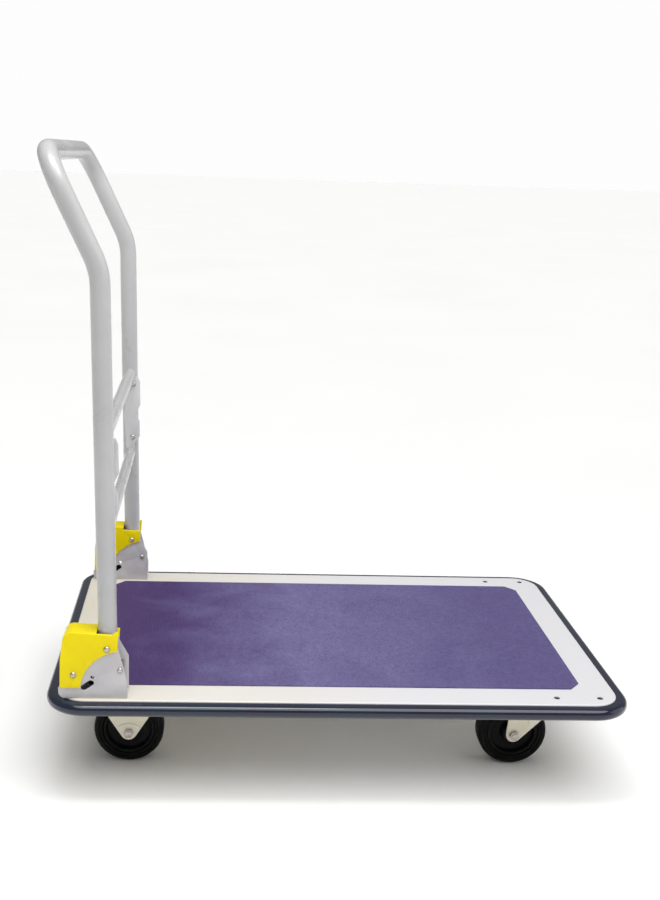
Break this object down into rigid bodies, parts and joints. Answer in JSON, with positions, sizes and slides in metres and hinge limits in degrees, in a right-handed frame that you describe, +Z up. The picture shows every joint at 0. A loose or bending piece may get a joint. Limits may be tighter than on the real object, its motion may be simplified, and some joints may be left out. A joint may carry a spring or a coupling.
{
  "type": "platform truck",
  "caption": "Flatbed platform truck: steel deck with a textured vinyl mat and wrap-round bumper, fold-down cranked tube handle with a release bar, rigid and swivel casters.",
  "frame": {"origin": "on the floor under the middle of the deck", "axes": "+X along the deck away from the handle, +Y across the deck to the pusher's left, +Z up"},
  "size_m": [0.8, 0.517, 0.8582],
  "materials": {
    "deck_enamel": "satin baked enamel, cream white",
    "frame_enamel": "satin baked enamel",
    "bumper_pvc": "glossy dark navy PVC",
    "mat_vinyl": "fine-textured violet-blue vinyl",
    "bracket_enamel": "satin light grey enamel",
    "cover_plastic": "moulded yellow plastic",
    "zinc_plate": "bright zinc plate",
    "fork_zinc": "cream zinc chromate",
    "black_oxide": "black oxide",
    "spring_steel": "oiled steel",
    "handle_powder": "satin light grey powder coat",
    "release_enamel": "mid grey enamel",
    "bush_nylon": "natural nylon",
    "core_nylon": "black moulded nylon",
    "tyre_rubber": "black rubber"
  },
  "bodies": {
    "chassis": {"deck_tray": "deck_enamel", "deck_bumper": "bumper_pvc", "grip_mat": "mat_vinyl", "cross_channels": "frame_enamel", "centre_ribs": "frame_enamel", "hinge_bracket_left": "bracket_enamel", "hinge_bracket_right": "bracket_enamel", "hinge_cover_left": "cover_plastic", "hinge_cover_right": "cover_plastic", "pivot_rivets": "zinc_plate", "spacer_rivets": "zinc_plate", "stop_rivets": "zinc_plate", "bracket_bolts": "zinc_plate", "bracket_nuts": "zinc_plate", "latch_spring_left": "spring_steel", "latch_spring_right": "spring_steel", "rigid_fork_left": "fork_zinc", "rigid_fork_right": "fork_zinc", "rigid_axles": "zinc_plate", "rigid_axle_nuts": "zinc_plate", "swivel_plate_left": "fork_zinc", "swivel_plate_right": "fork_zinc", "kingpins": "zinc_plate", "caster_bolts": "zinc_plate", "caster_nuts": "zinc_plate"},
    "handle": {"handle_tube": "handle_powder", "upper_crossbar": "handle_powder", "pivot_bushes": "bush_nylon", "return_springs": "spring_steel"},
    "release": {"release_plate_left": "release_enamel", "release_plate_right": "release_enamel", "release_bar": "handle_powder", "push_rods": "spring_steel", "rod_pins": "zinc_plate"},
    "lock_left": {"lock_pin_left": "black_oxide"},
    "lock_right": {"lock_pin_right": "black_oxide"},
    "swivel_left": {"swivel_fork_left": "fork_zinc", "swivel_balls_left": "spring_steel", "swivel_axle_left": "zinc_plate", "swivel_axle_nut_left": "zinc_plate"},
    "swivel_right": {"swivel_fork_right": "fork_zinc", "swivel_balls_right": "spring_steel", "swivel_axle_right": "zinc_plate", "swivel_axle_nut_right": "zinc_plate"},
    "wheel_rear_left": {"wheel_core_rear_left": "core_nylon", "tyre_rear_left": "tyre_rubber", "wheel_bush_rear_left": "bush_nylon"},
    "wheel_rear_right": {"wheel_core_rear_right": "core_nylon", "tyre_rear_right": "tyre_rubber", "wheel_bush_rear_right": "bush_nylon"},
    "wheel_front_left": {"wheel_core_front_left": "core_nylon", "tyre_front_left": "tyre_rubber", "wheel_bush_front_left": "bush_nylon"},
    "wheel_front_right": {"wheel_core_front_right": "core_nylon", "tyre_front_right": "tyre_rubber", "wheel_bush_front_right": "bush_nylon"}
  },
  "joints": [
    {"name": "handle_fold", "type": "hinge", "parent": "chassis", "child": "handle", "pos_m": [-0.3151, 0, 0.2178], "axis": [0, 1, 0], "range_deg": [0, 90]},
    {"name": "release_slide", "type": "slide", "parent": "handle", "child": "release", "axis": [0.012, 0, -0.9999], "range_m": [0, 0.012], "stiffness_N_per_m": 1500, "springref_m": -0.01, "deforming": ["return_springs"]},
    {"name": "lock_slide_left", "type": "slide", "parent": "chassis", "child": "lock_left", "axis": [-0.8192, 0, -0.5736], "range_m": [0, 0.00575], "deforming": ["latch_spring_left"]},
    {"name": "lock_slide_right", "type": "slide", "parent": "chassis", "child": "lock_right", "axis": [-0.8192, 0, -0.5736], "range_m": [0, 0.00575], "deforming": ["latch_spring_right"]},
    {"name": "swivel_left", "type": "hinge", "parent": "chassis", "child": "swivel_left", "pos_m": [0.294, 0.13, 0.1122], "axis": [0, 0, 1], "continuous": true},
    {"name": "swivel_right", "type": "hinge", "parent": "chassis", "child": "swivel_right", "pos_m": [0.294, -0.13, 0.1122], "axis": [0, 0, 1], "continuous": true},
    {"name": "wheel_spin_rear_left", "type": "hinge", "parent": "chassis", "child": "wheel_rear_left", "pos_m": [-0.2938, 0.13, 0.05], "axis": [0, 1, 0], "continuous": true},
    {"name": "wheel_spin_rear_right", "type": "hinge", "parent": "chassis", "child": "wheel_rear_right", "pos_m": [-0.2938, -0.13, 0.05], "axis": [0, 1, 0], "continuous": true},
    {"name": "wheel_spin_front_left", "type": "hinge", "parent": "swivel_left", "child": "wheel_front_left", "pos_m": [0.264, 0.13, 0.05], "axis": [0, 1, 0], "continuous": true},
    {"name": "wheel_spin_front_right", "type": "hinge", "parent": "swivel_right", "child": "wheel_front_right", "pos_m": [0.264, -0.13, 0.05], "axis": [0, 1, 0], "continuous": true}
  ],
  "couplings": [
    {"joint": "lock_slide_left", "follows": "release_slide", "ratio": 0.479},
    {"joint": "lock_slide_right", "follows": "release_slide", "ratio": 0.479}
  ]
}
